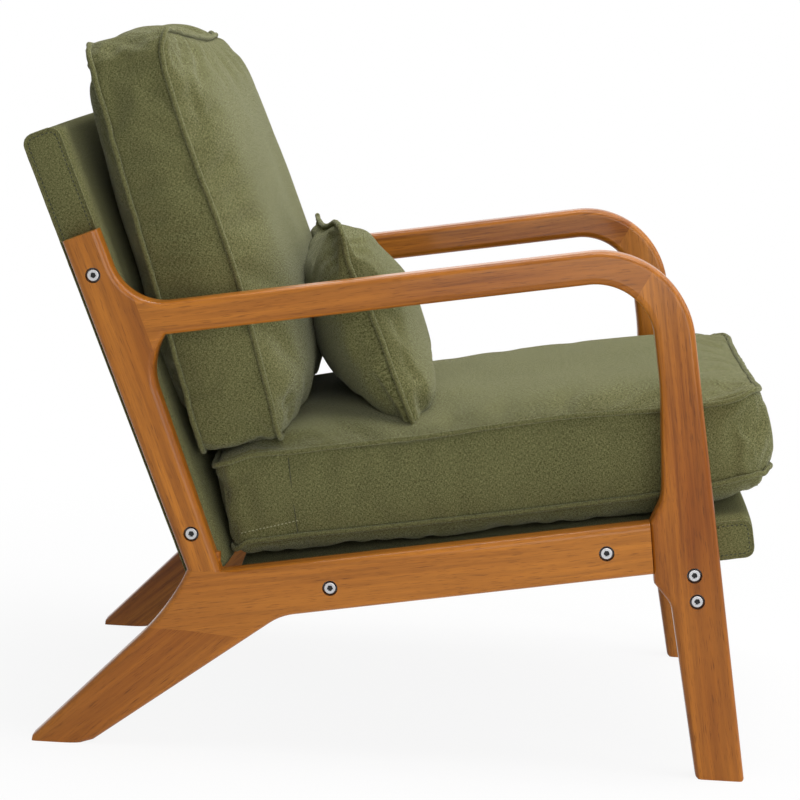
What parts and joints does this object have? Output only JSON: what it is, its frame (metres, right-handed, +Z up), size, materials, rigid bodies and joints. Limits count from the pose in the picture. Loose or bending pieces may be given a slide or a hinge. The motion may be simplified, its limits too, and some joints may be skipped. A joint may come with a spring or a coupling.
{
  "type": "accent armchair",
  "caption": "Wooden armchair with raked side frames, upholstered seat and back panels between them, loose boxed cushions and a small lumbar pillow.",
  "frame": {"origin": "on the floor, midway between the side frames and midway from front to rear", "axes": "+X towards the sitter's left, -Y towards the front of the chair, +Z up"},
  "size_m": [0.642, 0.8382, 0.7968],
  "materials": {
    "wood": "satin lacquer",
    "upholstery": "woven",
    "piping": "woven, on the bias",
    "filling": "soft foam and fibre",
    "lining": "non-woven",
    "plywood": "raw",
    "batten_wood": "raw",
    "zip": "woven tape",
    "bolt_metal": "satin",
    "insert_metal": "plain",
    "slider_metal": "satin"
  },
  "bodies": {
    "chair_frame": {"back_post_right": "wood", "back_post_left": "wood", "arm_right": "wood", "arm_left": "wood", "front_leg_right": "wood", "front_leg_left": "wood", "side_rail_right": "wood", "side_rail_left": "wood", "rear_leg_right": "wood", "rear_leg_left": "wood", "dowels_right": "batten_wood", "bolts_right": "bolt_metal", "washers_right": "bolt_metal", "inserts_right": "insert_metal", "dowels_left": "batten_wood", "bolts_left": "bolt_metal", "washers_left": "bolt_metal", "inserts_left": "insert_metal", "front_stretcher": "wood", "seat_panel_batten_right": "batten_wood", "seat_panel_batten_left": "batten_wood", "seat_panel_cross_batten_low": "batten_wood", "seat_panel_cross_batten_high": "batten_wood", "seat_panel_board": "plywood", "seat_panel_foam": "filling", "seat_panel_cover": "upholstery", "back_panel_batten_right": "batten_wood", "back_panel_batten_left": "batten_wood", "back_panel_cross_batten_low": "batten_wood", "back_panel_cross_batten_high": "batten_wood", "back_panel_board": "plywood", "back_panel_foam": "filling", "back_panel_cover": "upholstery", "seat_panel_dust_cover": "lining"},
    "seat_cushion": {"seat_cushion_cover": "upholstery", "seat_cushion_core": "filling", "seat_cushion_piping": "piping", "seat_cushion_zip": "zip"},
    "seat_cushion_zip_slider": {"seat_cushion_slider": "slider_metal"},
    "back_cushion": {"back_cushion_cover": "upholstery", "back_cushion_core": "filling", "back_cushion_piping": "piping", "back_cushion_zip": "zip"},
    "back_cushion_zip_slider": {"back_cushion_slider": "slider_metal"},
    "lumbar_pillow": {"lumbar_pillow_cover": "upholstery", "lumbar_pillow_fill": "filling", "lumbar_pillow_piping": "piping", "lumbar_pillow_zip": "zip"},
    "lumbar_pillow_zip_slider": {"lumbar_pillow_slider": "slider_metal"}
  },
  "joints": [
    {"name": "seat_cushion_slide", "type": "slide", "parent": "chair_frame", "child": "seat_cushion", "axis": [0, -0.9854, 0.1702], "range_m": [0, 0.35]},
    {"name": "back_cushion_lift", "type": "slide", "parent": "chair_frame", "child": "back_cushion", "axis": [0, 0.304, 0.9527], "range_m": [0, 0.35]},
    {"name": "lumbar_pillow_lift", "type": "slide", "parent": "chair_frame", "child": "lumbar_pillow", "axis": [0, -0.5, 0.866], "range_m": [0, 0.3]},
    {"name": "seat_cushion_zip_run", "type": "slide", "parent": "seat_cushion", "child": "seat_cushion_zip_slider", "axis": [1, 0, 0], "range_m": [0, 0.44]},
    {"name": "back_cushion_zip_run", "type": "slide", "parent": "back_cushion", "child": "back_cushion_zip_slider", "axis": [1, 0, 0], "range_m": [0, 0.36]},
    {"name": "lumbar_pillow_zip_run", "type": "slide", "parent": "lumbar_pillow", "child": "lumbar_pillow_zip_slider", "axis": [0.9965, 0.0831, -0.0096], "range_m": [0, 0.16]}
  ]
}
